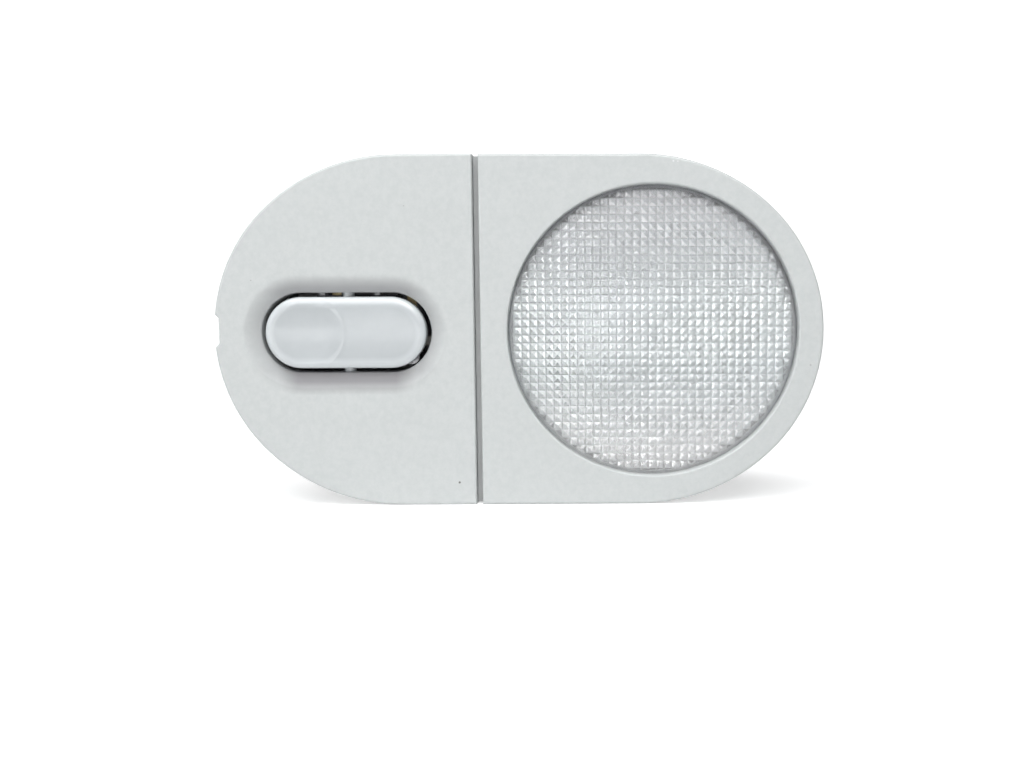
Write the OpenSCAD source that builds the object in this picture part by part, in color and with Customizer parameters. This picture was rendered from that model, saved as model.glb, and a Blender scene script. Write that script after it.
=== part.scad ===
// Car interior light: a roof lamp with a three-position rocker and a round prismatic lens.
// Every module but place() works in the lamp's own frame: X runs to the right along the face,
// Y runs up the face, and Z comes out of the face with 0 on the front plane, so depths are
// positive numbers used as negative Z. place() then stands the lamp on its long lower edge.

/* [Face] */
// Length of the lamp's face
lamp_len = 151.4; // [147:0.2:185]
// Height of the lamp's face
lamp_h = 87; // [84:0.5:108]
// How much longer each round end is than half a circle
end_stretch = 2.25; // [1:0.25:4]
// How much smaller the radius at each tip is than half the height
tip_tighten = 1.5; // [1:0.25:3]
// Thickness of the face
face_t = 2; // [1.6:0.1:2.4]
// Thickness of the skirt round the face
skirt_t = 1.8; // [1.4:0.1:2.2]
// Depth of the skirt, from the front plane to the roof lining
skirt_depth = 16; // [15:0.5:20]
// Radius of the face's outer edge
edge_r = 0.8; // [0.4:0.1:1.2]
// Width of the groove between the two covers
groove_w = 1.45; // [1:0.05:2]
// Width of the pry notch at the left tip
notch_w = 6.2; // [5:0.1:8]
// Height of the pry notch's middle above the middle of the face
notch_y = 0.6; // [0:0.1:1.5]
// Depth of the pry notch
notch_d = 1.1; // [0.6:0.1:1.3]

/* [Lens] */
// Radius of the window in the right cover
window_r = 36.3; // [34:0.1:37]
// Width of the face between the window and the right tip
window_border = 6.2; // [5.4:0.1:8]
// Width of the face between the window and the groove
groove_border = 6.7; // [6:0.1:9]
// Depth of the lens's smooth front below the front plane
lens_front = 2.6; // [2:0.1:3]
// Thickness of the lens
lens_t = 2; // [1.6:0.1:2.4]
// Side of one square prism
prism_pitch = 2; // [2:0.1:3]
// Height of one square prism
prism_h = 1; // [0.4:0.1:1]

/* [Rocker] */
// Distance from the left tip to the rocker's pivot
rocker_inset = 32.5; // [31:0.5:36]
// Length of the rocker
rocker_len = 39.8; // [32:0.2:42]
// Height of the rocker
rocker_h = 17.7; // [17:0.1:20]
// Gap beside the rocker's long sides
rocker_gap = 1.05; // [0.8:0.05:1.4]
// Gap at the rocker's two ends
rocker_end_gap = 1.25; // [1:0.05:1.6]
// How far the rocker stands out of the front plane
rocker_proud = 0.5; // [0:0.1:1]
// Radius of the rocker's front edge
rocker_edge = 1.8; // [1:0.1:2]
// Width of the dished recess round the opening
dish_w = 4; // [3:0.1:5]
// Depth of the dished recess at the opening
dish_depth = 2.4; // [1.6:0.1:3]
// Tilt of the rocker either way
rocker_tilt = 9; // [7:0.5:10]
// Depth of the rocker's pivot
pivot_depth = 5; // [4.5:0.1:6]
// Distance from the pivot to the lever's tip
lever_arm = 9; // [8:0.1:10]

/* [Housing] */
// Depth of the whole lamp, from the front plane
depth = 28; // [28:0.5:34]
// Wall of the tub that goes through the roof lining
tub_t = 1.5; // [1.2:0.1:2]
// Thickness of the flange that carries the covers
flange_t = 1.8; // [1.5:0.1:2.2]
// Width of the divider that shows in the groove
divider_t = 1.25; // [0.8:0.05:1.8]

/* [Bulb] */
// Length of the festoon bulb
bulb_len = 41; // [36:0.5:44]
// Diameter of the bulb's glass
bulb_d = 10; // [8:0.5:11]
// Depth of the bulb's axis
bulb_depth = 16; // [15:0.5:18]

/* [Switch] */
// Width of the slider
slider_w = 12; // [11:0.5:13]
// Length of the slider
slider_len = 13; // [12:0.5:15]
// Width of a blade terminal
blade_w = 4.8; // [2.8:0.1:4.8]
// Thickness of a blade terminal
blade_t = 0.8; // [0.5:0.1:0.8]
// Distance from one blade to the next
blade_pitch = 6.6; // [6.2:0.1:7]

/* [Hidden] */
$fn = 96;

// Clearances and small overlaps
touch = 0.1;          // clearance between pieces that locate each other
run_gap = 0.05;       // radial clearance of a turning pin
lap = 1;              // how far one part of a moulding runs into the next

// Outline of the face
half_len = lamp_len / 2;
half_h = lamp_h / 2;
flat_x = half_len - half_h - end_stretch;
tip_r = half_h - tip_tighten;
tip_x = half_len - tip_r;
shoulder_drop = (pow(end_stretch + tip_tighten, 2) - pow(tip_tighten, 2)) / (2 * tip_tighten);
shoulder_r = half_h + shoulder_drop;
turn = atan2(shoulder_drop, end_stretch + tip_tighten);

// Places along the face
lens_x = half_len - window_border - window_r;
divider_x = lens_x - window_r - groove_border - groove_w / 2;
rocker_x = rocker_inset - half_len;
left_edge = divider_x - groove_w / 2;
right_edge = divider_x + groove_w / 2;
divider_sink = 2.2;   // depth of the divider's top below the front plane
divider_inset = 0.4;  // how far the divider's ends stay inside the outline
groove_bevel = 0.4;   // bevel on the covers' edges along the groove

// How the covers sit on the flange
flange_back = skirt_depth - 1.2;
flange_front = flange_back - flange_t;
flange_inset = skirt_t + 0.2;
edge_steps = 4;       // flats that make the rounding of the outer edge
catch_w = 8;          // width of one snap catch
catch_set = 12;       // distance from the groove to the catches on the flats
catch_grip = 0.7;     // how far a catch reaches under the flange
rib_t = 1.2;          // thickness of the covers' inner ribs
rib_reach = 3.6;      // how far these ribs reach in from the outline

// Window and lens
lip_r = 0.8;          // rounding of the window's front edge
seat_depth = 4.4;     // depth of the step that the lens's flange rests against
lens_flange_w = 2;    // how far the lens's flange reaches past the window
lens_flange_t = 1.5;
lens_lap = 0.6;       // how far the lens's flange reaches in under its prisms
collar_t = 1.6;       // wall of the collar that holds the lens
collar_depth = 8;     // depth of that collar
lens_r = window_r - 0.15;
flange_r = window_r + lens_flange_w - 0.15;
collar_r = window_r + lens_flange_w;
collar_out = collar_r + collar_t;
lens_back = lens_front + lens_t;
seat_gap = 0.1;       // play of the lens behind its step
prism_bed = 0.1;      // height of the bed that the prisms stand on
prism_root = 0.5;     // how far that bed is let into the lens
key_w = 3;            // width of the tab that keeps the prisms square to the lamp
key_reach = 0.8;      // how far this tab stands out of the lens's flange

// Rocker and its opening
rocker_r = rocker_h / 2;
rocker_half = rocker_len / 2 - rocker_r;
opening_r = rocker_r + rocker_gap;
opening_half = rocker_len / 2 + rocker_end_gap - opening_r;
well_t = 1.5;         // wall of the well that carries the rocker
well_depth = 8;
rocker_wall = 1.5;
rocker_face = 1.9;
rocker_skirt = 3.6;   // depth of the rocker's edge
pin_r = 1.5;          // radius of the rocker's pivot pins
pin_reach = opening_r + well_t - 0.2;
ear_r = 2.6;          // radius of the ears that carry the pins
pip_w = 1.2;          // width of the guide pips above the rocker
pip_x = [-6.2, 7.5];  // their places from the pivot
pip_top = 3.4;
pip_bottom = 6.6;
thumb_r = 9.4;        // radius of the thumb dish where it meets the rocker's face
thumb_depth = 0.7;
thumb_x = -9.4;       // middle of the thumb dish, from the pivot
lever_t = 2;
lever_w = 5;
tip_rad = 1.3;        // radius of the lever's round tip
tip_depth = pivot_depth + lever_arm;

// Detent on the rocker's upper side
cam_r = 9;            // radius of the cam's edge about the pivot
cam_angle = 21;       // half the angle that the cam spans
notch_depth = 0.5;
notch_out = 0.6;      // half width of a cam notch at the cam's edge
notch_in = 0.3;       // half width of a cam notch at its root
bump_h = 0.9;
bump_foot = 0.6;      // half width of the leaf's bump at its foot
bump_tip = 0.12;      // half width of the leaf's bump at its tip
leaf_t = 0.3;
leaf_w = 2;
leaf_half = 10.5;
leaf_y = rocker_r - rocker_wall / 2;
leaf_top = pivot_depth + cam_r - notch_depth + 0.05 + bump_h;

// Slider, bridge and tracks, each below the last
slider_t = 3.1;
slider_top = tip_depth - tip_rad - touch;
slider_bottom = slider_top + slider_t;
spring_r = 1.6;       // outer radius of a contact spring
spring_wire = 0.35;
spring_x = 4.6;       // distance of each contact spring from the slider's middle
spring_pocket = 2;
bridge_t = 0.4;
bridge_top = slider_bottom + 0.7;
bridge_bottom = bridge_top + bridge_t;
dimple_r = 0.6;
dimple_y = 3;
track_t = 0.6;
track_top = bridge_bottom + dimple_r + run_gap;
board_top = track_top + track_t;
board_t = 1.5;
board_bottom = board_top + board_t;
board_half = 16.3;
board_y0 = -10.2;
board_y1 = 9.8;
rail_t = 0.9;
rail_in = slider_w / 2 + touch;
rail_half = 10.6;
rail_lip = 0.9;
rail_top = slider_top - touch - rail_lip;
travel = lever_arm * sin(rocker_tilt);
pad_w = 1.1;
track_w = 2.4;

// Tub, reflector and bulb
floor_top = depth - tub_t;
bulb_half = bulb_len / 2;
pan_t = 0.5;          // sheet of the reflector
pan_bottom_r = bulb_half + 3.9;
pan_top_r = pan_bottom_r + 3.2;
pan_depth = bulb_depth + bulb_d / 2 + 1;
pan_rim_r = collar_r - 0.3;
tub_in_r = pan_top_r + 1.9;
tub_r = tub_in_r + tub_t;
tub_half = lens_x + pan_top_r + 0.9 + tub_t - tub_r;
tub_end = tub_half + tub_r;
contact_t = 0.5;
contact_w = 7;
contact_x = bulb_half - 0.75;
strip_w = 3;
strip_low = floor_top - track_t;
supply_y = 11.5;
slot_gap = 0.3;

// Screws
screw_x = 13.6;
screw_y = -7.2;
screw_r = 1.4;
screw_head_r = 2.6;
screw_head_h = 1.7;
screw_len = 7;
boss_r = 2.8;

// Connector pocket in the back of the tub
plug_x = rocker_x + blade_pitch + 7.1;
plug_y = 19.8;
pocket_w = 2 * blade_pitch + blade_w + 3;
pocket_h = 9.6;
pocket_wall = 1.4;
pocket_floor = board_top + pocket_wall;
panel_sink = 0.5;     // depth of the panels in the back of the tub
key_slot_w = 2;       // width of the pocket's keyway
blade_end = depth - 0.8;

// Retaining clip and roof lugs
clip_pad_x = tub_end + 0.4;
clip_pad_h = 14;
clip_t = 0.5;
clip_w = 12;
clip_top = skirt_depth + 2.2;
clip_low = depth - 0.6;
clip_knee = 5.6;
rivet_r = 1.2;
rivet_head_r = 2.2;
rivet_head_t = 0.6;
rivet_depth = min((clip_top + clip_low) / 2, floor_top - rivet_head_r - touch);
lug_w = 8;
lug_y = 10;
lug_reach = 4.5;
lug_t = 1.6;

// Colours
cover_grey = [0.84, 0.855, 0.845];
housing_grey = [0.62, 0.63, 0.63];
rocker_grey = [0.88, 0.9, 0.91];
lens_clear = [0.9, 0.93, 0.95, 0.5];
brass = [0.8, 0.66, 0.36];
steel = [0.66, 0.67, 0.69];
aluminium = [0.8, 0.81, 0.82];
switch_black = [0.14, 0.14, 0.15];
slider_brown = [0.45, 0.3, 0.2];

// Frame

module place()
    translate([0, (rocker_proud - depth) / 2, half_h]) rotate([90, 0, 0]) children();

// Shapes that several pieces share

function arc(cx, cy, r, from, to, steps) =
    [for (i = [0 : steps]) let (a = from + (to - from) * i / steps) [cx + r * cos(a), cy + r * sin(a)]];

tip_step = turn / 12;
function round_end(inset) = concat(
    arc(flat_x, -shoulder_drop, shoulder_r - inset, 90, turn, 12),
    arc(tip_x, 0, tip_r - inset, turn - tip_step, tip_step - turn, 22),
    arc(flat_x, shoulder_drop, shoulder_r - inset, -turn, -90, 12));

function mirrored(points) = [for (i = [len(points) - 1 : -1 : 0]) [-points[i][0], points[i][1]]];

// Outline of the face, moved in by inset
module outline(inset) polygon(concat(round_end(inset), mirrored(round_end(inset))));

// Short stretch of a section about the right tip's centre, from one angle to another.
// The section's X is the distance out from the outline and its Y is Z.
module sweep_tip(from, to)
    translate([tip_x, 0, 0]) rotate([0, 0, from])
        rotate_extrude(angle = to - from) translate([tip_r, 0]) children();

// Solid through closed rings with the same number of points, each clockwise seen from the front
module loft(rings) {
    n = len(rings[0]);
    last = len(rings) - 1;
    walls = [for (i = [0 : last - 1]) for (j = [0 : n - 1])
        let (k = (j + 1) % n, p = i * n, q = p + n)
        each [[p + j, q + j, q + k], [p + j, q + k, p + k]]];
    front = [for (j = [0 : n - 1]) j];
    back = [for (j = [n - 1 : -1 : 0]) last * n + j];
    polyhedron([for (ring = rings) each ring], concat([front], [back], walls));
}

// Section swept round a shape with two half-circle ends. The section's X is the radius.
module sweep_slot(half) {
    for (s = [0, 1]) mirror([s, 0, 0]) translate([half, 0, 0]) rotate([0, 0, -90])
        rotate_extrude(angle = 180) children();
    for (s = [0, 1]) mirror([0, s, 0]) translate([-half, 0, 0]) rotate([90, 0, 90])
        linear_extrude(2 * half) children();
}

// Solid with two half-circle ends, from one depth to another
module slot_solid(half, r, top, bottom) {
    for (s = [-1, 1]) translate([s * half, 0, -bottom]) cylinder(r = r, h = bottom - top);
    translate([-half, -r, -bottom]) cube([2 * half, 2 * r, bottom - top]);
}

// Box from one corner to the other, with depths for its front and back
module block(x0, x1, y0, y1, top, bottom)
    translate([x0, y0, -bottom]) cube([x1 - x0, y1 - y0, bottom - top]);

// Flat strip of sheet that follows a path, as a 2D shape
function unit(v) = v / norm(v);
function side(p, q) = let (d = unit(q - p)) [-d[1], d[0]];
function mitre(path, i) =
    i == 0 ? side(path[0], path[1]) :
    i == len(path) - 1 ? side(path[i - 1], path[i]) :
    let (a = side(path[i - 1], path[i]), b = side(path[i], path[i + 1])) (a + b) / (1 + a * b);
module sheet(path, t)
    polygon(concat(
        [for (i = [0 : len(path) - 1]) path[i] + mitre(path, i) * t / 2],
        [for (i = [len(path) - 1 : -1 : 0]) path[i] - mitre(path, i) * t / 2]));

// Sheet drawn in X and Z, and wide in Y
module sheet_across(path, t, y0, y1)
    translate([0, y1, 0]) rotate([90, 0, 0]) linear_extrude(y1 - y0) sheet(path, t);

// Coil of wire that climbs in Z
module coil(r, pitch, turns, wire_r) {
    steps = 16;
    sides = 6;
    n = steps * turns;
    points = [for (i = [0 : n]) for (j = [0 : sides - 1])
        let (a = 360 * i / steps, b = 360 * j / sides, reach = r + wire_r * cos(b))
        [reach * cos(a), reach * sin(a), pitch * i / steps + wire_r * sin(b)]];
    start = [for (j = [sides - 1 : -1 : 0]) j];
    end = [for (j = [0 : sides - 1]) n * sides + j];
    walls = [for (i = [0 : n - 1]) for (j = [0 : sides - 1])
        let (k = (j + 1) % sides, p = i * sides, q = p + sides)
        each [[p + j, q + k, q + j], [p + j, p + k, q + k]]];
    polyhedron(points, concat([start], [end], walls));
}

// Covers

// Outline of the right cover, from its straight edge at from_x round its end. The end is moved
// in by inset and the straight edge by edge_inset.
function cover_points(from_x, inset, edge_inset) = concat(
    [[from_x + edge_inset, half_h - inset]], round_end(inset), [[from_x + edge_inset, inset - half_h]]);

function cover_ring(from_x, inset, edge_inset, z) =
    [for (p = cover_points(from_x, inset, edge_inset)) [p[0], p[1], z]];

// Face and skirt of the right cover, with a rounded outer edge and a bevel along the groove
module cover_shell(from_x) difference() {
    loft(concat(
        [for (i = [0 : edge_steps]) let (a = 90 * i / edge_steps)
            cover_ring(from_x, edge_r * (1 - sin(a)), groove_bevel * (1 - i / edge_steps), edge_r * (cos(a) - 1))],
        [cover_ring(from_x, 0, 0, -skirt_depth)]));
    translate([0, 0, -skirt_depth - lap]) linear_extrude(skirt_depth + lap - face_t)
        polygon(cover_points(from_x - lap, skirt_t, 0));
}

module catch_section()
    polygon([[-skirt_t / 2, -flange_back - touch], [-flange_inset - catch_grip, -flange_back - touch],
        [-flange_inset, -skirt_depth + touch], [-skirt_t / 2, -skirt_depth + touch]]);

// Snap catches that grip the flange, and ribs that rest on it, for the right end
module cover_seats(catch_x) {
    for (s = [0, 1]) mirror([0, s, 0]) {
        translate([catch_x - catch_w / 2, half_h, 0]) rotate([90, 0, 90])
            linear_extrude(catch_w) catch_section();
        for (x = [catch_x - catch_w, catch_x + catch_w])
            block(x - rib_t / 2, x + rib_t / 2, half_h - rib_reach, half_h - skirt_t / 2, face_t / 2, flange_front);
        sweep_tip(30, 30 + 2 * asin(catch_w / 2 / tip_r)) catch_section();
        for (a = [20, 48]) translate([tip_x, 0, 0]) rotate([0, 0, a])
            block(tip_r - rib_reach, tip_r - skirt_t / 2, -rib_t / 2, rib_t / 2, face_t / 2, flange_front);
    }
}

function dish_z(t) = -dish_depth * (1 + cos(180 * t)) / 2;

// Dished recess and the well below it, as one section about the opening's centre line
module well_section()
    polygon(concat(
        [for (i = [0 : 8]) [opening_r + dish_w * i / 8, dish_z(i / 8)]],
        [[opening_r + dish_w + lap, 0], [opening_r + dish_w + lap, -face_t],
            [opening_r + dish_w, -face_t], [opening_r + well_t, -dish_depth - face_t],
            [opening_r + well_t, -well_depth], [opening_r, -well_depth]]));

module switch_cover() color(cover_grey) place() difference() {
    union() {
        difference() {
            mirror([1, 0, 0]) cover_shell(-left_edge);
            translate([rocker_x, 0, 0]) slot_solid(opening_half, opening_r + dish_w, -touch, face_t + touch);
        }
        translate([rocker_x, 0, 0]) sweep_slot(opening_half) well_section();
        mirror([1, 0, 0]) cover_seats(catch_set - left_edge);
        notch_backing();
        guide_pips();
    }
    notch_cut();
    translate([rocker_x, 0, -pivot_depth]) rotate([90, 0, 0])
        cylinder(r = pin_r + run_gap, h = 2 * (opening_r + well_t + touch), center = true);
}

// Small guides in the gap above the rocker
module guide_pips()
    for (x = pip_x) translate([rocker_x, 0, 0])
        block(x - pip_w / 2, x + pip_w / 2, rocker_r + 0.35, opening_r + well_t / 2, pip_top, pip_bottom);

// Thicker wall behind the pry notch
module notch_backing()
    block(notch_d - half_len, notch_d + skirt_t - half_len, notch_y - notch_w / 2 - 2, notch_y + notch_w / 2 + 2,
        face_t / 2, skirt_depth);

module notch_cut()
    translate([-half_len, notch_y, -skirt_depth - touch]) linear_extrude(skirt_depth + 2 * touch)
        polygon([[-touch, -notch_w / 2 - notch_d - touch], [notch_d, -notch_w / 2],
            [notch_d, notch_w / 2], [-touch, notch_w / 2 + notch_d + touch]]);

// Window lip, step for the lens and the collar behind it, as one section about the lens's axis
module window_section()
    polygon(concat(
        [[collar_out + 0.7, 0]],
        arc(window_r + lip_r, -lip_r, lip_r, 90, 180, 6),
        [[window_r, -seat_depth], [collar_r, -seat_depth], [collar_r, -collar_depth],
            [collar_out, -collar_depth], [collar_out, -face_t], [collar_out + 0.7, -face_t]]));

lens_nub_top = seat_depth + seat_gap + lens_flange_t + seat_gap;

module lens_cover() color(cover_grey) place() {
    difference() {
        cover_shell(right_edge);
        translate([lens_x, 0, -face_t - touch]) cylinder(r = collar_out - 0.3, h = face_t + 2 * touch);
    }
    translate([lens_x, 0, 0]) difference() {
        rotate_extrude() window_section();
        block(-key_w / 2 - touch, key_w / 2 + touch, collar_r - 0.5, collar_r + key_reach + 0.05,
            seat_depth + seat_gap, collar_depth + touch);
    }
    cover_seats(right_edge + catch_set);
    for (a = [45 : 90 : 315]) translate([lens_x, 0, 0]) {
        rotate([0, 0, a - 4]) rotate_extrude(angle = 8) lens_nub_section();
        rotate([0, 0, a + 15])
            block(collar_r - 1.5, collar_out, -rib_t / 2, rib_t / 2, collar_depth - touch, flange_front - pan_t);
    }
}

// Nub that the lens's flange snaps past
module lens_nub_section()
    polygon([[collar_r - 0.6, -lens_nub_top], [collar_r + collar_t / 2, -lens_nub_top],
        [collar_r + collar_t / 2, -lens_nub_top - 1.2], [collar_r, -lens_nub_top - 1.2]]);

// Lens

module lens_body_section()
    polygon([[0, -lens_front], [lens_r - 0.3, -lens_front], [lens_r, -lens_front - 0.3],
        [lens_r, -seat_depth - seat_gap], [flange_r, -seat_depth - seat_gap],
        [flange_r, -seat_depth - seat_gap - lens_flange_t],
        [lens_r - lens_lap, -seat_depth - seat_gap - lens_flange_t],
        [lens_r - lens_lap, prism_bed - lens_back], [0, prism_bed - lens_back]]);

// Field of square prisms. A cell is whole when all of it lies inside the lens's rim. Points are
// numbered along the grid's rows, first on the feet of the prisms, then on the bed's root, then
// the crests.
prism_reach = lens_r - lens_lap - 0.2;
cells = floor(prism_reach / prism_pitch - 0.5);
row_points = 2 * cells + 2;
grid_points = row_points * row_points;

function whole(i, j) =
    (pow(abs(i) + 0.5, 2) + pow(abs(j) + 0.5, 2)) * pow(prism_pitch, 2) <= pow(prism_reach, 2);
function foot(i, j) = (j + cells) * row_points + i + cells;
function crest(i, j) = 2 * grid_points + (j + cells) * (row_points - 1) + i + cells;
function corners(i, j) = [foot(i, j), foot(i + 1, j), foot(i + 1, j + 1), foot(i, j + 1)];

function grid_level(z) = [for (j = [-cells : cells + 1]) for (i = [-cells : cells + 1])
    [(i - 0.5) * prism_pitch, (j - 0.5) * prism_pitch, z]];

module prism_field() {
    sides = [[0, -1], [1, 0], [0, 1], [-1, 0]];
    whole_cells = [for (j = [-cells : cells]) for (i = [-cells : cells]) if (whole(i, j)) [i, j]];
    points = concat(grid_level(0), grid_level(prism_root),
        [for (j = [-cells : cells]) for (i = [-cells : cells]) [i * prism_pitch, j * prism_pitch, -prism_h]]);
    flanks = [for (c = whole_cells) let (p = corners(c[0], c[1])) for (k = [0 : 3])
        [p[k], p[(k + 1) % 4], crest(c[0], c[1])]];
    roots = [for (c = whole_cells) let (p = corners(c[0], c[1]))
        [for (k = [3 : -1 : 0]) p[k] + grid_points]];
    walls = [for (c = whole_cells) let (p = corners(c[0], c[1])) for (k = [0 : 3])
        if (!whole(c[0] + sides[k][0], c[1] + sides[k][1]))
            [p[(k + 1) % 4], p[k], p[k] + grid_points, p[(k + 1) % 4] + grid_points]];
    polyhedron(points, concat(flanks, roots, walls));
}

module lens() color(lens_clear) place() translate([lens_x, 0, 0]) {
    rotate_extrude() lens_body_section();
    translate([0, 0, -lens_back]) prism_field();
    block(-key_w / 2, key_w / 2, flange_r - 0.5, flange_r + key_reach, seat_depth + 2 * seat_gap,
        seat_depth + lens_flange_t);
}

// Housing

module tub_section()
    polygon([[tub_in_r, -flange_front], [tub_r, -flange_front], [tub_r, -depth + 0.6], [tub_r - 0.6, -depth],
        [tub_in_r - 2, -depth], [tub_in_r - 2, -floor_top], [tub_in_r, -floor_top]]);

module flange() difference() {
    translate([0, 0, -flange_back]) linear_extrude(flange_t) outline(flange_inset);
    slot_solid(tub_half, tub_in_r + tub_t / 2, flange_front - touch, flange_back + touch);
}

module tub() {
    sweep_slot(tub_half) tub_section();
    slot_solid(tub_half, tub_in_r - 1, floor_top, depth);
}

module divider() {
    block(divider_x - divider_t / 2, divider_x + divider_t / 2, divider_inset - half_h, half_h - divider_inset,
        divider_sink, skirt_depth);
    block(divider_x - divider_t / 2, divider_x + divider_t / 2, -tub_in_r - tub_t / 2, tub_in_r + tub_t / 2,
        flange_front, floor_top + tub_t / 2);
}

module divider_slots() {
    block(divider_x - 2, divider_x + 2, supply_y - strip_w / 2 - slot_gap, supply_y + strip_w / 2 + slot_gap,
        strip_low - slot_gap, floor_top);
    block(divider_x - 2, divider_x + 2, -dimple_y - track_w / 2 - slot_gap, -dimple_y + track_w / 2 + slot_gap,
        strip_low - slot_gap, floor_top);
}

module switch_bosses() for (s = [-1, 1]) translate([rocker_x + s * screw_x, screw_y, -floor_top - tub_t / 2])
    cylinder(r = boss_r, h = floor_top + tub_t / 2 - board_bottom);

module switch_boss_bores() for (s = [-1, 1]) translate([rocker_x + s * screw_x, screw_y, -board_bottom - screw_len])
    cylinder(r = screw_r + run_gap, h = screw_len + touch);

module pocket_block()
    block(plug_x - pocket_w / 2 - pocket_wall, plug_x + pocket_w / 2 + pocket_wall,
        plug_y - pocket_h / 2 - pocket_wall, plug_y + pocket_h / 2 + pocket_wall, board_top, depth);

module pocket_space() {
    block(plug_x - pocket_w / 2, plug_x + pocket_w / 2, plug_y - pocket_h / 2, plug_y + pocket_h / 2,
        pocket_floor, depth + touch);
    for (i = [-1, 0, 1]) translate([plug_x + i * blade_pitch, plug_y, 0])
        block(-blade_w / 2 - touch, blade_w / 2 + touch, -blade_t / 2 - touch, blade_t / 2 + touch,
            board_top - touch, pocket_floor + touch);
    block(plug_x - blade_pitch / 2 - key_slot_w / 2, plug_x - blade_pitch / 2 + key_slot_w / 2,
        plug_y + pocket_h / 2 - touch, plug_y + pocket_h / 2 + 0.8, depth - 5, depth + touch);
}

// Shallow panels in the back, which leave ribs and a frame standing
module back_panels() for (i = [0 : 2]) let (x = lens_x - 29 + i * 20) for (s = [-1, 1])
    block(x, x + 18, s < 0 ? -21 : 1, s < 0 ? -1 : 21, depth - panel_sink, depth + touch);

module clip_pad()
    block(-clip_pad_x, tub_t + 0.1 - tub_end, -clip_pad_h / 2, clip_pad_h / 2, skirt_depth + 1.5, depth - 0.6);

module rivet_bore(r)
    translate([-clip_pad_x - touch, 0, -rivet_depth]) rotate([0, 90, 0]) cylinder(r = r, h = 3);

// Fixed lugs that tuck behind the roof panel
module roof_lugs() for (s = [-1, 1]) translate([0, s * lug_y + lug_w / 2, 0]) rotate([90, 0, 0])
    linear_extrude(lug_w)
        polygon([[tub_end - 2.4, -skirt_depth - 1], [tub_end + lug_reach - 1, -skirt_depth - 1],
            [tub_end + lug_reach, -skirt_depth - 1.6], [tub_end + lug_reach, -skirt_depth - 1 - lug_t],
            [tub_end - 2.4, -skirt_depth - 2.5 - lug_t]]);

// Two posts that pin each floor strip down, with spread heads
module heat_stake(x, y) {
    translate([x, y, -floor_top - tub_t / 2]) cylinder(r = 0.8, h = tub_t / 2 + track_t + touch);
    translate([x, y, -strip_low + touch]) cylinder(r1 = 1.5, r2 = 1, h = 0.6);
}

module base_housing() color(housing_grey) place() {
    difference() {
        union() {
            flange();
            tub();
            divider();
            switch_bosses();
            pocket_block();
            clip_pad();
            roof_lugs();
        }
        divider_slots();
        switch_boss_bores();
        pocket_space();
        rivet_bore(rivet_r + run_gap);
        notch_relief();
        back_panels();
    }
    for (x = supply_stakes) heat_stake(x, supply_y);
    for (x = lamp_stakes) heat_stake(x, -dimple_y);
}

// Room in the flange for the backing of the pry notch
module notch_relief()
    block(-half_len - touch, notch_d + skirt_t + touch - half_len, notch_y - notch_w / 2 - 2 - touch,
        notch_y + notch_w / 2 + 2 + touch, flange_front - touch, flange_back + touch);

supply_stakes = [divider_x + 8, lens_x + 14];
lamp_stakes = [divider_x + 8];

// Reflector

module pan_section()
    sheet([[0, -pan_depth - pan_t / 2], [pan_bottom_r, -pan_depth - pan_t / 2],
        [pan_top_r, -flange_front + pan_t / 2], [pan_rim_r, -flange_front + pan_t / 2]], pan_t);

module reflector() color(aluminium) place() translate([lens_x, 0, 0]) difference() {
    rotate_extrude() pan_section();
    for (s = [0, 1]) mirror([s, 0, 0])
        block(contact_x - 1, contact_x + contact_t + 2.2, -contact_w / 2 - slot_gap, contact_w / 2 + slot_gap,
            pan_depth - touch, pan_depth + pan_t + touch);
}

// Rocker

module rocker_section()
    polygon(concat(
        [[rocker_r - 4, rocker_proud]],
        arc(rocker_r - rocker_edge, rocker_proud - rocker_edge, rocker_edge, 90, 0, 8),
        [[rocker_r, -rocker_skirt], [rocker_r - rocker_wall, -rocker_skirt],
            [rocker_r - rocker_wall, rocker_proud - rocker_face], [rocker_r - 4, rocker_proud - rocker_face]]));

// The pivot is the origin of these parts of the rocker
module ear_and_pin() {
    translate([0, rocker_r - rocker_wall, 0]) rotate([-90, 0, 0]) cylinder(r = ear_r, h = rocker_wall);
    block(-ear_r, ear_r, rocker_r - rocker_wall, rocker_r, rocker_face - rocker_proud - pivot_depth, 0);
    translate([0, rocker_r - rocker_wall / 2, 0]) rotate([-90, 0, 0])
        cylinder(r = pin_r, h = pin_reach - rocker_r + rocker_wall / 2);
}

module lever() {
    block(-lever_t / 2, lever_t / 2, -lever_w / 2, lever_w / 2, rocker_face - rocker_proud - pivot_depth, lever_arm);
    translate([0, 0, -lever_arm]) rotate([90, 0, 0]) cylinder(r = tip_rad, h = lever_w, center = true);
    for (s = [-1, 1]) translate([0, s * 2.2 + 0.5, 0]) rotate([90, 0, 0]) linear_extrude(1)
        polygon([[-6, pivot_depth + rocker_proud - rocker_face], [6, pivot_depth + rocker_proud - rocker_face],
            [0.8, -lever_arm + 3], [-0.8, -lever_arm + 3]]);
}

// Cam with three notches, on the rocker's upper side
module cam() translate([0, rocker_r, 0]) rotate([90, 0, 0]) linear_extrude(rocker_wall) difference() {
    intersection() {
        circle(r = cam_r);
        polygon([[0, 0.1], [-2 * cam_r * sin(cam_angle), -2 * cam_r * cos(cam_angle)],
            [2 * cam_r * sin(cam_angle), -2 * cam_r * cos(cam_angle)]]);
    }
    for (a = [-rocker_tilt, 0, rocker_tilt]) rotate(a)
        polygon([[-notch_in, notch_depth - cam_r], [notch_in, notch_depth - cam_r],
            [notch_out + 0.06, -cam_r - touch], [-notch_out - 0.06, -cam_r - touch]]);
}

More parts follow.
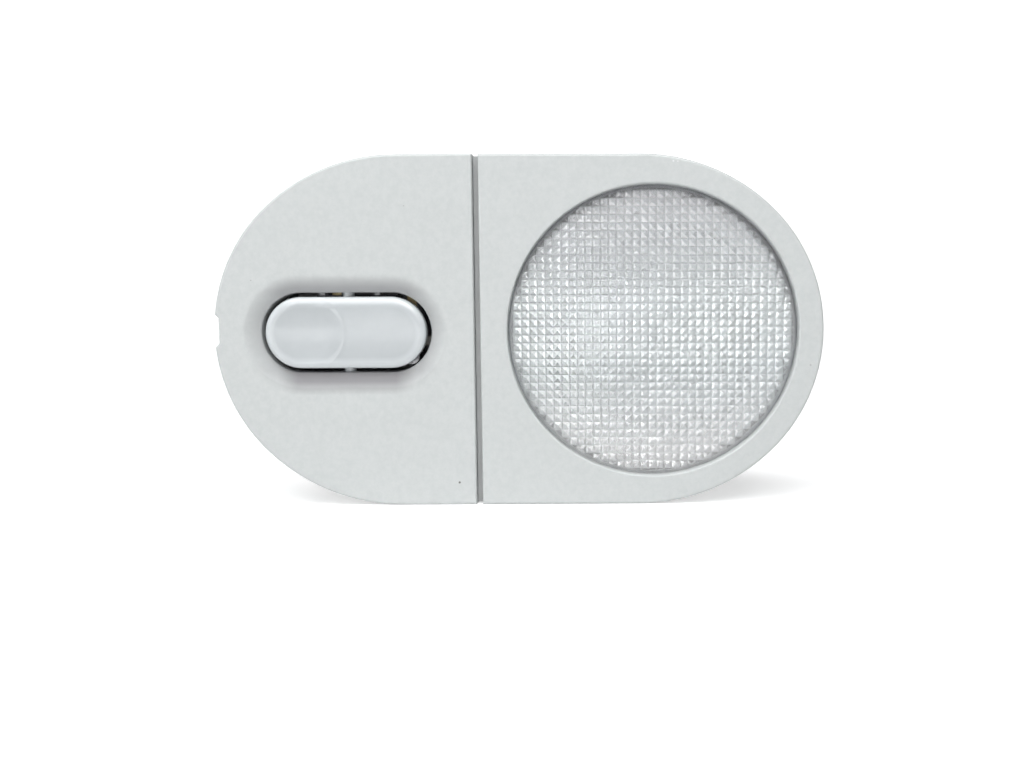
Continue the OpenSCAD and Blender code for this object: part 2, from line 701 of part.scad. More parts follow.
module rocker() color(rocker_grey) place() translate([rocker_x, 0, 0]) {
    difference() {
        union() {
            sweep_slot(rocker_half) rocker_section();
            slot_solid(rocker_half, rocker_r - 3, -rocker_proud, rocker_face - rocker_proud);
        }
        thumb_ball = (thumb_r * thumb_r + thumb_depth * thumb_depth) / (2 * thumb_depth);
        translate([thumb_x, 0, rocker_proud + thumb_ball - thumb_depth]) sphere(r = thumb_ball, $fn = 200);
    }
    translate([0, 0, -pivot_depth]) {
        for (s = [0, 1]) mirror([0, s, 0]) ear_and_pin();
        lever();
        cam();
    }
}

// Switch

module leaf_post(x)
    block(x - 1.5, x + 1.5, rail_in + rail_t / 2, leaf_y + leaf_w / 2 + 0.6, leaf_top + leaf_t, board_top + board_t / 2);

module switch_base() color(switch_black) place() translate([rocker_x, 0, 0]) difference() {
    union() {
        block(-board_half, board_half, board_y0, board_y1, board_top, board_bottom);
        for (s = [0, 1]) mirror([0, s, 0]) {
            block(-rail_half, rail_half, rail_in, rail_in + rail_t, rail_top, board_top + board_t / 2);
            block(-rail_half, rail_half, rail_in - 0.9, rail_in + rail_t, rail_top, rail_top + rail_lip);
        }
        for (s = [-1, 1]) leaf_post(s * 9);
    }
    block(-7.5, -4.6, rail_in - touch, rail_in + rail_t + touch, track_top - slot_gap, board_top);
    for (s = [-1, 1]) translate([s * screw_x, screw_y, -board_bottom - touch])
        cylinder(r = screw_r + 0.2, h = board_t + 2 * touch);
}

module contact_slider() color(slider_brown) place() translate([rocker_x, 0, 0]) difference() {
    block(-slider_len / 2, slider_len / 2, -slider_w / 2, slider_w / 2, slider_top, slider_bottom);
    block(-tip_rad - 0.06, tip_rad + 0.06, -lever_w / 2 - 0.3, lever_w / 2 + 0.3, slider_top - touch, slider_bottom + touch);
    for (s = [-1, 1]) translate([s * spring_x, 0, -slider_bottom - touch])
        cylinder(r = spring_r + 0.15, h = spring_pocket + touch);
}

module bridge_contact() color(brass) place() translate([rocker_x, 0, 0]) {
    leg_x = slider_len / 2 + touch + bridge_t / 2;
    sheet_across([[-leg_x, -slider_bottom + 1.4], [-leg_x, -bridge_top - bridge_t / 2],
        [leg_x, -bridge_top - bridge_t / 2], [leg_x, -slider_bottom + 1.4]], bridge_t,
        -dimple_y - 1.4, dimple_y + 1.4);
    for (s = [-1, 1]) translate([0, s * dimple_y, -bridge_bottom]) sphere(r = dimple_r);
}

module contact_springs() color(steel) place() translate([rocker_x, 0, 0])
    for (s = [-1, 1]) translate([s * spring_x, 0, -bridge_top + spring_wire / 2 + 0.02])
        coil(spring_r - spring_wire / 2, (bridge_top - slider_bottom + spring_pocket - spring_wire - 0.1) / 3,
            3, spring_wire / 2);

module detent_spring() color(steel) place() translate([rocker_x, 0, 0])
    sheet_across([[-leaf_half, -leaf_top - leaf_t / 2], [-bump_foot, -leaf_top - leaf_t / 2],
        [-bump_tip, bump_h - leaf_top - leaf_t / 2], [bump_tip, bump_h - leaf_top - leaf_t / 2],
        [bump_foot, -leaf_top - leaf_t / 2], [leaf_half, -leaf_top - leaf_t / 2]], leaf_t,
        leaf_y - leaf_w / 2, leaf_y + leaf_w / 2);

module switch_screws() color(steel) place()
    for (s = [-1, 1]) translate([rocker_x + s * screw_x, screw_y, -board_top]) difference() {
        union() {
            cylinder(r1 = screw_head_r, r2 = screw_head_r - 0.7, h = screw_head_h);
            translate([0, 0, -screw_len]) cylinder(r = screw_r, h = screw_len + touch);
        }
        for (a = [0, 90]) rotate([0, 0, a])
            translate([-1.6, -0.3, screw_head_h - 0.9]) cube([3.2, 0.6, 1]);
    }

// Conductors

module track(x0, x1, y0, y1) block(x0, x1, y0, y1, track_top, board_top);

module blade(i) translate([plug_x + i * blade_pitch, plug_y, 0]) {
    block(-blade_w / 2, blade_w / 2, -blade_t / 2, blade_t / 2, track_top, blade_end - 1);
    translate([0, blade_t / 2, 0]) rotate([90, 0, 0]) linear_extrude(blade_t)
        polygon([[-blade_w / 2, 1.5 - blade_end], [blade_w / 2, 1.5 - blade_end],
            [blade_w / 2 - 1, -blade_end], [1 - blade_w / 2, -blade_end]]);
}

module bulb_leaf(way) {
    base = contact_x + contact_t / 2;
    difference() {
        mirror([way < 0 ? 1 : 0, 0, 0]) sheet_across([[base + 3, -floor_top + track_t / 2], [base, -floor_top + track_t / 2],
            [base, -bulb_depth + 3.5], [base + 1.2, -bulb_depth + 5.5]], contact_t, -contact_w / 2, contact_w / 2);
        translate([way * base, 0, -bulb_depth]) rotate([0, 90, 0]) cylinder(r = 1.5, h = 2, center = true);
    }
}

module lamp_contact() color(brass) place() {
    y0 = -dimple_y - track_w / 2;
    y1 = -dimple_y + track_w / 2;
    drop = left_edge - 7;
    foot = lens_x - contact_x - contact_t / 2;
    difference() {
        union() {
            track(rocker_x - 5, drop, y0, y1);
            block(drop - track_t, drop, y0, y1, track_top, floor_top);
            block(drop - track_t, foot - 2, y0, y1, strip_low, floor_top);
            translate([lens_x, 0, 0]) bulb_leaf(-1);
        }
        for (x = lamp_stakes) stake_hole(x, -dimple_y);
    }
}

module stake_hole(x, y) translate([x, y, -floor_top - touch]) cylinder(r = 0.9, h = track_t + 2 * touch);

module supply_contact() color(brass) place() {
    y0 = supply_y - strip_w / 2;
    y1 = supply_y + strip_w / 2;
    drop = left_edge - 3.5;
    x = plug_x + blade_pitch;
    foot = lens_x + contact_x + contact_t / 2;
    difference() {
        union() {
            blade(1);
            track(x - strip_w / 2, x + strip_w / 2, y0, plug_y + blade_t / 2);
            track(x - strip_w / 2, drop, y0, y1);
            block(drop - track_t, drop, y0, y1, track_top, floor_top);
            block(drop - track_t, foot + 3.2, y0, y1, strip_low, floor_top);
            block(foot, foot + 3.2, -contact_w / 2, y1, strip_low, floor_top);
            translate([lens_x, 0, 0]) bulb_leaf(1);
        }
        for (x = supply_stakes) stake_hole(x, supply_y);
    }
}

module ground_terminal() color(brass) place() {
    x = plug_x - blade_pitch;
    y_run = board_y1 + 1.2;
    track(rocker_x - travel - pad_w / 2, rocker_x - travel + pad_w / 2, dimple_y - 1.2, dimple_y + 1.2);
    track(rocker_x - 7.2, rocker_x - travel, dimple_y - 1.2, dimple_y + 1.2);
    track(rocker_x - 7.2, rocker_x - 4.9, dimple_y - 1.2, y_run + 1.2);
    track(rocker_x - 7.2, x + 1.2, y_run - 1.2, y_run + 1.2);
    track(x - 1.2, x + 1.2, y_run - 1.2, plug_y + blade_t / 2);
    blade(-1);
}

module door_terminal() color(brass) place() {
    track(rocker_x - pad_w / 2, plug_x + 1.2, dimple_y - 1.2, dimple_y + 1.2);
    track(plug_x - 1.2, plug_x + 1.2, dimple_y - 1.2, plug_y + blade_t / 2);
    blade(0);
}

// Bulb

neck_r = 3;
neck_end = 16.5;
cap_r = 3.8;
cap_start = bulb_half - 7.5;
cap_cone = bulb_half - 3;
cap_tip_r = 1.3;
glass_t = 0.8;

module along_x() rotate([0, 90, 0]) rotate_extrude() children();

module at_bulb() translate([lens_x, 0, -bulb_depth]) children();

module bulb_glass() color([0.9, 0.93, 0.95, 0.4]) place() at_bulb() along_x() {
    r = bulb_d / 2;
    shoulder = cap_start - 1.6;
    end = bulb_half - 4;
    outer = concat([[neck_r, -end], [neck_r, -cap_start]], arc(r - 2, -shoulder, 2, -60, 0, 5),
        arc(r - 2, shoulder, 2, 0, 60, 5), [[neck_r, cap_start], [neck_r, end]]);
    inner = concat([[neck_r - glass_t, end], [neck_r - glass_t, cap_start]],
        arc(r - 2, shoulder, 2 - glass_t, 60, 0, 5), arc(r - 2, -shoulder, 2 - glass_t, 0, -60, 5),
        [[neck_r - glass_t, -cap_start], [neck_r - glass_t, -end]]);
    polygon(concat(outer, inner));
}

module bulb_cap(way) color(brass) place() at_bulb() mirror([way < 0 ? 1 : 0, 0, 0]) along_x()
    polygon([[neck_r + 0.05, cap_start + 0.3], [cap_r, cap_start + 0.3], [cap_r, cap_cone],
        [cap_tip_r + 0.6, bulb_half - 0.75], [cap_tip_r, bulb_half - 0.75], [cap_tip_r, bulb_half],
        [0, bulb_half], [0, bulb_half - 1.5], [neck_r + 0.05, bulb_half - 3.6]]);

module bulb_cap_left() bulb_cap(-1);

module bulb_cap_right() bulb_cap(1);

module bulb_filament() color(steel) place() at_bulb() {
    half = 5;
    translate([-half, 0, 0]) rotate([0, 90, 0]) coil(0.5, 2 * half / 12, 12, 0.12);
    for (s = [0, 1]) mirror([s, 0, 0]) rotate([0, 90, 0]) {
        translate([0, 0, half + 0.05]) cylinder(r = 0.25, h = bulb_half - 1.72 - half, $fn = 24);
        translate([0, 0, half - 0.05]) cylinder(r = 0.7, h = 0.25, $fn = 24);
    }
}

// Fixing in the roof

module retaining_clip() color(steel) place() difference() {
    x = -clip_pad_x - clip_t / 2;
    sheet_across([[x, -clip_top], [x, -clip_low + 1], [x - 0.8, -clip_low], [x - 1.6, -clip_low + 0.8],
        [x - clip_knee, -clip_top - 3.4], [x - clip_knee, -clip_top - 2.4], [x - 2.4, -clip_top + 0.8]],
        clip_t, -clip_w / 2, clip_w / 2);
    translate([x, 0, -rivet_depth]) rotate([0, 90, 0]) cylinder(r = rivet_r + run_gap, h = 1.2, center = true);
}

module clip_rivet() color(steel) place() translate([0, 0, -rivet_depth]) rotate([0, 90, 0]) {
    outside = -clip_pad_x - clip_t;
    inside = tub_t - tub_end + 0.1;
    translate([0, 0, outside - rivet_head_t]) cylinder(r1 = rivet_head_r - 0.6, r2 = rivet_head_r, h = rivet_head_t);
    translate([0, 0, outside - touch]) cylinder(r = rivet_r, h = inside - outside + 2 * touch);
    translate([0, 0, inside]) cylinder(r = rivet_head_r, h = rivet_head_t);
}

switch_cover();
lens_cover();
lens();
base_housing();
reflector();
rocker();
switch_base();
contact_slider();
bridge_contact();
contact_springs();
detent_spring();
switch_screws();
lamp_contact();
supply_contact();
ground_terminal();
door_terminal();
bulb_glass();
bulb_filament();
bulb_cap_left();
bulb_cap_right();
retaining_clip();
clip_rivet();
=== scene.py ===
"""Car interior light: materials, finer surfaces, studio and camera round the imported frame."""
import math

import bmesh
import bpy
from mathutils import Euler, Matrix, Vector
from mathutils.geometry import tessellate_polygon

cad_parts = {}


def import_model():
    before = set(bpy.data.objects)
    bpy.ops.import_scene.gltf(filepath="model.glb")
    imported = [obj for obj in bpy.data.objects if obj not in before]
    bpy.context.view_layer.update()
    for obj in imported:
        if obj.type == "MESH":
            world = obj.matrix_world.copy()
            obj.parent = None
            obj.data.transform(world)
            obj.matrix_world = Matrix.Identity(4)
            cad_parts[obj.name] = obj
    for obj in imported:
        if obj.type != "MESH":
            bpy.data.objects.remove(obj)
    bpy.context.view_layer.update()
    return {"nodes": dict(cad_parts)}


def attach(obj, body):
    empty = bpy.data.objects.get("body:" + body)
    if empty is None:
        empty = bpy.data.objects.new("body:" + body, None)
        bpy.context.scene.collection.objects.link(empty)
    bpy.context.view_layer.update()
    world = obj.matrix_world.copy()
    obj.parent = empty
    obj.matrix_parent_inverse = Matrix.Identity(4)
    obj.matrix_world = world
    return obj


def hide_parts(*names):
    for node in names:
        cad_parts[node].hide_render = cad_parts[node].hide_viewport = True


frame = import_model()
nodes = frame["nodes"]
scene = bpy.context.scene

# Sizes in millimetres, as in the CAD but for the recess, the window's lip and the prisms' height.
HALF_LEN, HALF_H = 75.7, 43.5
END_STRETCH, TIP_TIGHTEN = 2.25, 1.5
FACE_T, SKIRT_T, SKIRT_DEPTH, EDGE_R = 2.0, 1.8, 16.0, 0.8
DIVIDER_X, GROOVE_W, GROOVE_R = -10.525, 1.45, 0.4
WINDOW_R, LIP_R, LENS_X = 36.3, 0.45, 33.2
SEAT_DEPTH, COLLAR_R, COLLAR_OUT, COLLAR_DEPTH = 4.4, 38.3, 39.9, 8.0
ROCKER_X, ROCKER_R, ROCKER_HALF, PROUD = -43.2, 8.85, 11.05, 0.5
PIVOT_DEPTH, TILT = 5.0, 9.0
OPENING_R, OPENING_HALF, DISH_W = 9.9, 11.25, 4.2
DISH_FALL, DISH_EDGE = 1.45, 0.55
WELL_T, WELL_DEPTH, WELL_SHOULDER = 1.5, 8.0, 4.4
NOTCH_D, NOTCH_W, NOTCH_Y, NOTCH_MITRE = 1.1, 6.2, 0.6, 0.414
PITCH, PRISM_H, LENS_FRONT, LENS_T = 2.0, 0.98, 2.6, 2.0
ORIGIN_Y = 13.75

# The outline's ends are arcs: a wide shoulder above and below, and a tighter tip between them.
FLAT_X = HALF_LEN - HALF_H - END_STRETCH
TIP_R = HALF_H - TIP_TIGHTEN
TIP_X = HALF_LEN - TIP_R
DROP = ((END_STRETCH + TIP_TIGHTEN) ** 2 - TIP_TIGHTEN**2) / (2 * TIP_TIGHTEN)
SHOULDER_R = HALF_H + DROP
TURN = math.atan2(DROP, END_STRETCH + TIP_TIGHTEN)
RIGHT_EDGE = DIVIDER_X + GROOVE_W / 2
LEFT_EDGE = DIVIDER_X - GROOVE_W / 2

# Small marks on the face: x, y, radius and colour
MARKS = [
    (-15.5, -37.75, 0.35, (0.1, 0.095, 0.09)),
    (38.0, 41.6, 0.3, (0.8, 0.81, 0.82)),
    (39.1, 41.5, 0.22, (0.8, 0.81, 0.82)),
    (72.4, -8.5, 0.3, (0.45, 0.45, 0.45)),
    (-66.0, 13.0, 0.2, (0.42, 0.42, 0.42)),
    (-28.0, 31.0, 0.18, (0.45, 0.45, 0.44)),
]


def world(p):
    """A point of the lamp's own frame (x, y up the face, z out of it), in metres in the row frame."""
    return Vector((p[0], -p[2] - ORIGIN_Y, p[1] + HALF_H)) / 1000


# Materials


class Nodes:
    """Short way to build on a material's nodes. Lengths are in metres."""

    def __init__(self, mat):
        self.mat, self.tree = mat, mat.node_tree
        self.bsdf = self.tree.nodes["Principled BSDF"]
        self.out = self.tree.nodes["Material Output"]

    def add(self, kind, **values):
        n = self.tree.nodes.new(kind)
        for k, v in values.items():
            setattr(n, k, v)
        return n

    def link(self, a, b):
        self.tree.links.new(a, b)

    def set(self, **values):
        for k, v in values.items():
            self.bsdf.inputs[k.replace("_", " ")].default_value = v

    def color(self):
        """The socket that gives the base colour so far."""
        return self.bsdf.inputs["Base Color"].links[0].from_socket

    def set_color(self, socket):
        self.link(socket, self.bsdf.inputs["Base Color"])

    def coords(self):
        return self.add("ShaderNodeTexCoord").outputs["Object"]

    def axes(self):
        split = self.add("ShaderNodeSeparateXYZ")
        self.link(self.coords(), split.inputs[0])
        return split.outputs

    def noise(self, scale, detail, rough=0.5, stretch=None):
        n = self.add("ShaderNodeTexNoise")
        n.inputs["Scale"].default_value = scale
        n.inputs["Detail"].default_value = detail
        n.inputs["Roughness"].default_value = rough
        place = self.coords()
        if stretch:
            mapping = self.add("ShaderNodeMapping")
            mapping.inputs["Scale"].default_value = stretch
            self.link(place, mapping.inputs["Vector"])
            place = mapping.outputs["Vector"]
        self.link(place, n.inputs["Vector"])
        return n.outputs["Fac"]

    def remap(self, value, low, high, to_low, to_high):
        """to_low where value is low, to_high where it is high, and no further beyond either."""
        n = self.add("ShaderNodeMapRange")
        n.inputs["From Min"].default_value = low
        n.inputs["From Max"].default_value = high
        n.inputs["To Min"].default_value = to_low
        n.inputs["To Max"].default_value = to_high
        self.link(value, n.inputs["Value"])
        return n.outputs["Result"]

    def mix(self, fac, a, b):
        n = self.add("ShaderNodeMix", data_type="RGBA")
        self.link(fac, n.inputs["Factor"])
        for socket, value in (("A", a), ("B", b)):
            if isinstance(value, tuple):
                n.inputs[socket].default_value = (*value, 1)
            else:
                self.link(value, n.inputs[socket])
        return n.outputs["Result"]

    def math(self, operation, a, b=0.0, clamp=False):
        n = self.add("ShaderNodeMath", operation=operation)
        n.use_clamp = clamp
        for socket, value in zip(n.inputs, (a, b)):
            if isinstance(value, (int, float)):
                socket.default_value = value
            else:
                self.link(value, socket)
        return n.outputs[0]

    def distance(self, place):
        n = self.add("ShaderNodeVectorMath", operation="DISTANCE")
        self.link(self.coords(), n.inputs[0])
        n.inputs[1].default_value = place
        return n.outputs["Value"]

    def bump(self, height, strength, distance):
        n = self.add("ShaderNodeBump")
        n.inputs["Strength"].default_value = strength
        n.inputs["Distance"].default_value = distance
        self.link(height, n.inputs["Height"])
        self.link(n.outputs["Normal"], self.bsdf.inputs["Normal"])


def new_nodes(name):
    mat = bpy.data.materials.new(name)
    mat.use_nodes = True
    return Nodes(mat)


def plastic(name, low, high, rough, grain=900, grain_depth=0.00004, mottle=260):
    """Moulded plastic that varies between two colours, with a fine grain."""
    m = new_nodes(name)
    fine = m.noise(grain, 3, 0.6)
    broad = m.noise(mottle, 4, 0.65)
    m.set_color(m.mix(m.remap(broad, 0.35, 0.65, 0, 1), low, high))
    m.link(m.remap(fine, 0.3, 0.7, rough - 0.06, rough + 0.06), m.bsdf.inputs["Roughness"])
    m.bump(fine, 0.5, grain_depth)
    return m.mat


def metal(name, color, rough, brush=(1, 1, 1)):
    """Sheet or turned metal, with marks drawn out along the axes where brush is small."""
    m = new_nodes(name)
    m.set(Metallic=1.0, Base_Color=(*color, 1))
    marks = m.noise(600, 3, stretch=brush)
    m.link(m.remap(marks, 0.3, 0.7, rough - 0.08, rough + 0.08), m.bsdf.inputs["Roughness"])
    m.bump(marks, 0.2, 0.00002)
    return m.mat


def clear(name, color, rough, ior, through=1.0):
    m = new_nodes(name)
    m.set(Base_Color=(*color, 1), Roughness=rough, IOR=ior, Transmission_Weight=through)
    return m.mat


def rocker_reach(m):
    """How far a point lies along, above and away from the rocker's straight middle."""
    axes = m.axes()
    along = m.math("ABSOLUTE", m.math("SUBTRACT", axes["X"], ROCKER_X / 1000))
    along = m.math("MAXIMUM", m.math("SUBTRACT", along, OPENING_HALF / 1000), 0.0)
    up = m.math("SUBTRACT", axes["Z"], HALF_H / 1000)
    reach = m.math("SQRT", m.math("ADD", m.math("MULTIPLY", along, along), m.math("MULTIPLY", up, up)))
    return along, up, reach


def painted_edge_highlight(m):
    """A painted highlight: the rocker's rounded edge is painted paler than its middle, standing in for
    light on it. The shade is matched to the photograph, where it may be a reflection and not the
    colour."""
    _, _, reach = rocker_reach(m)
    # Painted highlight: the paler colour of the rounded edge.
    m.set_color(m.mix(m.remap(reach, 0.0060, 0.0080, 0, 1), m.color(), (0.64, 0.675, 0.69)))


def recess_shade_and_marks(m):
    """Painted shade in the recess round the rocker, stronger above it and darkest below it, and a few
    small marks of wear. The film's depth is matched to the photograph, where dirt can't be told from
    shade."""
    along, up, reach = rocker_reach(m)
    # Painted shade all round the recess, stronger above the rocker.
    recess_shade = m.remap(reach, 0.0102, 0.0143, 0.75, 0)
    above = m.math("MULTIPLY", m.remap(up, 0.0085, 0.0105, 0, 0.55), m.remap(reach, 0.0102, 0.0146, 1, 0))
    recess_shade = m.math("ADD", recess_shade, above, True)
    color = m.mix(recess_shade, m.color(), (0.40, 0.405, 0.41))
    # Painted shade below the rocker, darkest next to it.
    shade_below = m.math("MULTIPLY", m.remap(up, -0.0065, -0.0095, 0, 1), m.remap(reach, 0.0122, 0.0155, 1, 0))
    shade_below = m.math("MULTIPLY", shade_below, m.remap(along, 0.001, 0.006, 1, 0.25))
    color = m.mix(shade_below, color, (0.28, 0.275, 0.285))
    for x, y, r, shade in MARKS:
        away = m.distance(world((x, y, 0)))
        color = m.mix(m.remap(away, r / 2000, r / 1000, 1, 0), color, shade)
    m.set_color(color)


def painted_lens_shades(m):
    """Painted light and shade on the slightly milky plastic: greyest at middle height and lighter below
    and at the top, with a painted shadow along its rim that is widest at the top. The shades are
    matched to the photograph, where they may be reflections."""
    up = m.axes()["Z"]
    # Painted light and shade by height.
    color = m.mix(m.remap(up, 0.012, 0.034, 0, 1), (1, 1, 1), (0.86, 0.895, 0.9))
    color = m.mix(m.remap(up, 0.05, 0.076, 0, 1), color, (0.98, 0.985, 1))
    # Painted shadow of the window's lip along the rim, widest at the top.
    away = m.distance(world((LENS_X, -0.8, 0)))
    m.set_color(m.mix(m.remap(away, 0.0361, 0.0354, 1, 0), color, (0.5, 0.505, 0.52)))


cover_mat = plastic("cover_plastic", (0.59, 0.615, 0.61), (0.63, 0.65, 0.645), 0.5, mottle=700)
# Painted shade in the covers' rocker recess, and marks of wear.
recess_shade_and_marks(Nodes(cover_mat))
housing_mat = plastic("housing_plastic", (0.46, 0.467, 0.467), (0.50, 0.507, 0.507), 0.5)
rocker_mat = plastic("rocker_plastic", (0.465, 0.495, 0.51), (0.495, 0.525, 0.54), 0.16, 500, 0.00001, 90)
Nodes(rocker_mat).set(Specular_IOR_Level=0.9)
# Painted highlight on the rocker's rounded edge.
painted_edge_highlight(Nodes(rocker_mat))
switch_mat = plastic("switch_plastic", (0.36, 0.36, 0.37), (0.40, 0.40, 0.41), 0.45)
slider_mat = plastic("slider_plastic", (0.22, 0.11, 0.06), (0.26, 0.13, 0.07), 0.4)
reflector_mat = metal("reflector_sheet", (0.8, 0.81, 0.82), 0.72)
brass_mat = metal("contact_metal", (0.6, 0.5, 0.3), 0.36, (1, 1, 8))
steel_mat = metal("spring_steel", (0.47, 0.48, 0.5), 0.34, (1, 8, 1))
leaf_mat = metal("blued_steel", (0.06, 0.062, 0.07), 0.35, (1, 8, 1))
plated_mat = metal("plated_contact", (0.6, 0.59, 0.56), 0.4, (1, 1, 8))
screw_mat = metal("screw_steel", (0.6, 0.61, 0.63), 0.3)
wire_mat = metal("filament_wire", (0.25, 0.25, 0.27), 0.4)
cap_mat = metal("cap_metal", (0.66, 0.66, 0.65), 0.35)
lens_mat = clear("lens_plastic", (0.88, 0.91, 0.91), 0.1, 1.49, 0.82)
# Painted light and shade on the lens.
painted_lens_shades(Nodes(lens_mat))
glass_mat = clear("bulb_glass", (0.97, 0.98, 0.98), 0.01, 1.45)


def paint(o, mat):
    o.data.materials.clear()
    o.data.materials.append(mat)


for name, mat in {
    "base_housing": housing_mat, "reflector": reflector_mat, "switch_base": switch_mat,
    "contact_slider": slider_mat, "bridge_contact": brass_mat, "contact_springs": steel_mat,
    "detent_spring": leaf_mat, "switch_screws": screw_mat, "lamp_contact": plated_mat,
    "supply_contact": plated_mat, "ground_terminal": brass_mat, "door_terminal": brass_mat,
    "bulb_glass": glass_mat, "bulb_filament": wire_mat, "bulb_cap_left": cap_mat,
    "bulb_cap_right": cap_mat, "retaining_clip": steel_mat, "clip_rivet": screw_mat,
    "switch_cover": cover_mat, "lens_cover": cover_mat, "rocker": rocker_mat, "lens": lens_mat,
}.items():
    paint(nodes[name], mat)


# Mesh helpers

QUARTER = math.pi / 2


def sweep(start, end, steps):
    """Angles from start to end, both included."""
    return [start + (end - start) * i / steps for i in range(steps + 1)]


def arc(cx, cy, r, start, end, steps):
    return [(cx + r * math.cos(a), cy + r * math.sin(a)) for a in sweep(start, end, steps)]


def link_object(name, mesh):
    o = bpy.data.objects.new(name, mesh)
    scene.collection.objects.link(o)
    return o


def new_object(name, points, faces, merge, degenerate=None):
    """Object from points of the lamp's own frame, with points closer than merge, in metres, joined."""
    mesh = bpy.data.meshes.new(name)
    mesh.from_pydata([world(p) for p in points], [], faces)
    b = bmesh.new()
    b.from_mesh(mesh)
    bmesh.ops.remove_doubles(b, verts=b.verts, dist=merge)
    if degenerate:
        bmesh.ops.dissolve_degenerate(b, edges=b.edges, dist=degenerate)
    bmesh.ops.recalc_face_normals(b, faces=b.faces)
    b.to_mesh(mesh)
    b.free()
    return link_object(name, mesh)


def smooth(o, angle):
    """Smooth shading, with edges sharper than angle, in degrees, kept sharp."""
    o.data.shade_smooth()
    o.data.set_sharp_from_angle(angle=math.radians(angle))


class Builder:
    """Collects points of the lamp's own frame and the faces between them."""

    def __init__(self):
        self.points, self.faces = [], []

    def ring(self, points):
        start = len(self.points)
        self.points += [tuple(p) for p in points]
        return list(range(start, len(self.points)))

    def strip(self, a, b, closed=True):
        n = len(a)
        for i in range(n if closed else n - 1):
            j = (i + 1) % n
            self.faces.append((a[i], a[j], b[j], b[i]))

    def strips(self, rings):
        for p, q in zip(rings, rings[1:]):
            self.strip(p, q)

    def prism(self, first, second):
        """Closed solid between two flat outlines with as many points."""
        a, c = self.ring(first), self.ring(second)
        self.strip(a, c)
        self.faces += [tuple(a), tuple(reversed(c))]

    def fill(self, *rings):
        """Flat face inside the first ring, with the other rings as holes."""
        order = [i for r in rings for i in r]
        loops = [[Vector((self.points[i][0], self.points[i][1], 0)) for i in r] for r in rings]
        for tri in tessellate_polygon(loops):
            self.faces.append(tuple(order[i] for i in tri))

    def make(self, name, mat, body, angle=35, weighted=True):
        o = new_object(name, self.points, self.faces, 2e-6, 1e-7)
        smooth(o, angle)
        if weighted:
            o.modifiers.new("weighted", "WEIGHTED_NORMAL").keep_sharp = True
        paint(o, mat)
        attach(o, body)
        return o


def bar(b, place, out, near, far, width, top, bottom):
    """Upright rib that runs from near to far along out from a place, width wide."""
    across = (-out[1] * width / 2, out[0] * width / 2)
    outline = [(place[0] + out[0] * d + across[0] * s, place[1] + out[1] * d + across[1] * s)
               for d, s in ((near, -1), (far, -1), (far, 1), (near, 1))]
    b.prism([(x, y, -top) for x, y in outline], [(x, y, -bottom) for x, y in outline])


def along_y(b, outline, y0, y1):
    """Outline in x and z, drawn out along y."""
    b.prism([(x, y0, z) for x, z in outline], [(x, y1, z) for x, z in outline])


def slot_ring(r, z):
    """Closed ring round the rocker's opening, a slot with two half-circle ends, anticlockwise."""
    points = (arc(ROCKER_X + OPENING_HALF, 0, r, -QUARTER, QUARTER, 48)
              + arc(ROCKER_X - OPENING_HALF, 0, r, QUARTER, 3 * QUARTER, 48))
    return [(x, y, z) for x, y in points]


def circle_ring(r, z, steps=180):
    """Closed ring about the lens's axis."""
    return [(x, y, z) for x, y in arc(LENS_X, 0, r, 0, 4 * QUARTER, steps)[:-1]]


def rounding(r, steps):
    """Insets and heights round a convex edge of radius r, from the face to the side."""
    return [(r * (1 - math.sin(a)), r * (math.cos(a) - 1)) for a in sweep(0, QUARTER, steps)]


# Covers

CATCH_HALF_W = 4.0
CATCH_PROFILE = [(SKIRT_T - 0.1, -14.9), (2.7, -14.9), (2.0, -15.9), (SKIRT_T - 0.1, -15.9)]
RIB_W, RIB_REACH, RIB_BOTTOM = 1.2, 3.6, 13
FLAT_CATCH = 12


def right_end(inset):
    """The right end's outline from its top to its bottom, moved in by inset."""
    return (arc(FLAT_X, -DROP, SHOULDER_R - inset, QUARTER, TURN, 30)
            + arc(TIP_X, 0, TIP_R - inset, TURN, -TURN, 60)[1:]
            + arc(FLAT_X, DROP, SHOULDER_R - inset, -TURN, -QUARTER, 30)[1:])


def left_end(inset):
    """The left end's outline from its top to its bottom, with the pry notch at its tip."""
    r = TIP_R - inset
    floor_x = -HALF_LEN + NOTCH_D + inset
    w = NOTCH_W / 2 + NOTCH_MITRE * inset

    def crossing(s):
        """Where a side of the notch, at 45 degrees, meets the tip's arc."""
        lo, hi = 0.0, 3.0
        for _ in range(40):
            t = (lo + hi) / 2
            x, y = floor_x - t, NOTCH_Y + s * (w + t)
            if math.hypot(x + TIP_X, y) < r:
                lo = t
            else:
                hi = t
        return math.atan2(NOTCH_Y + s * (w + lo), lo - floor_x - TIP_X)

    shoulder = arc(FLAT_X, -DROP, SHOULDER_R - inset, QUARTER, TURN, 30)
    upper = arc(TIP_X, 0, r, TURN, crossing(1), 30)
    floor = [(-floor_x, NOTCH_Y + w), (-floor_x, NOTCH_Y - w)]
    lower = arc(TIP_X, 0, r, crossing(-1), -TURN, 30)
    bottom = arc(FLAT_X, DROP, SHOULDER_R - inset, -TURN, -QUARTER, 30)
    return [(-x, y) for x, y in shoulder + upper[1:] + floor + lower + bottom[1:]]


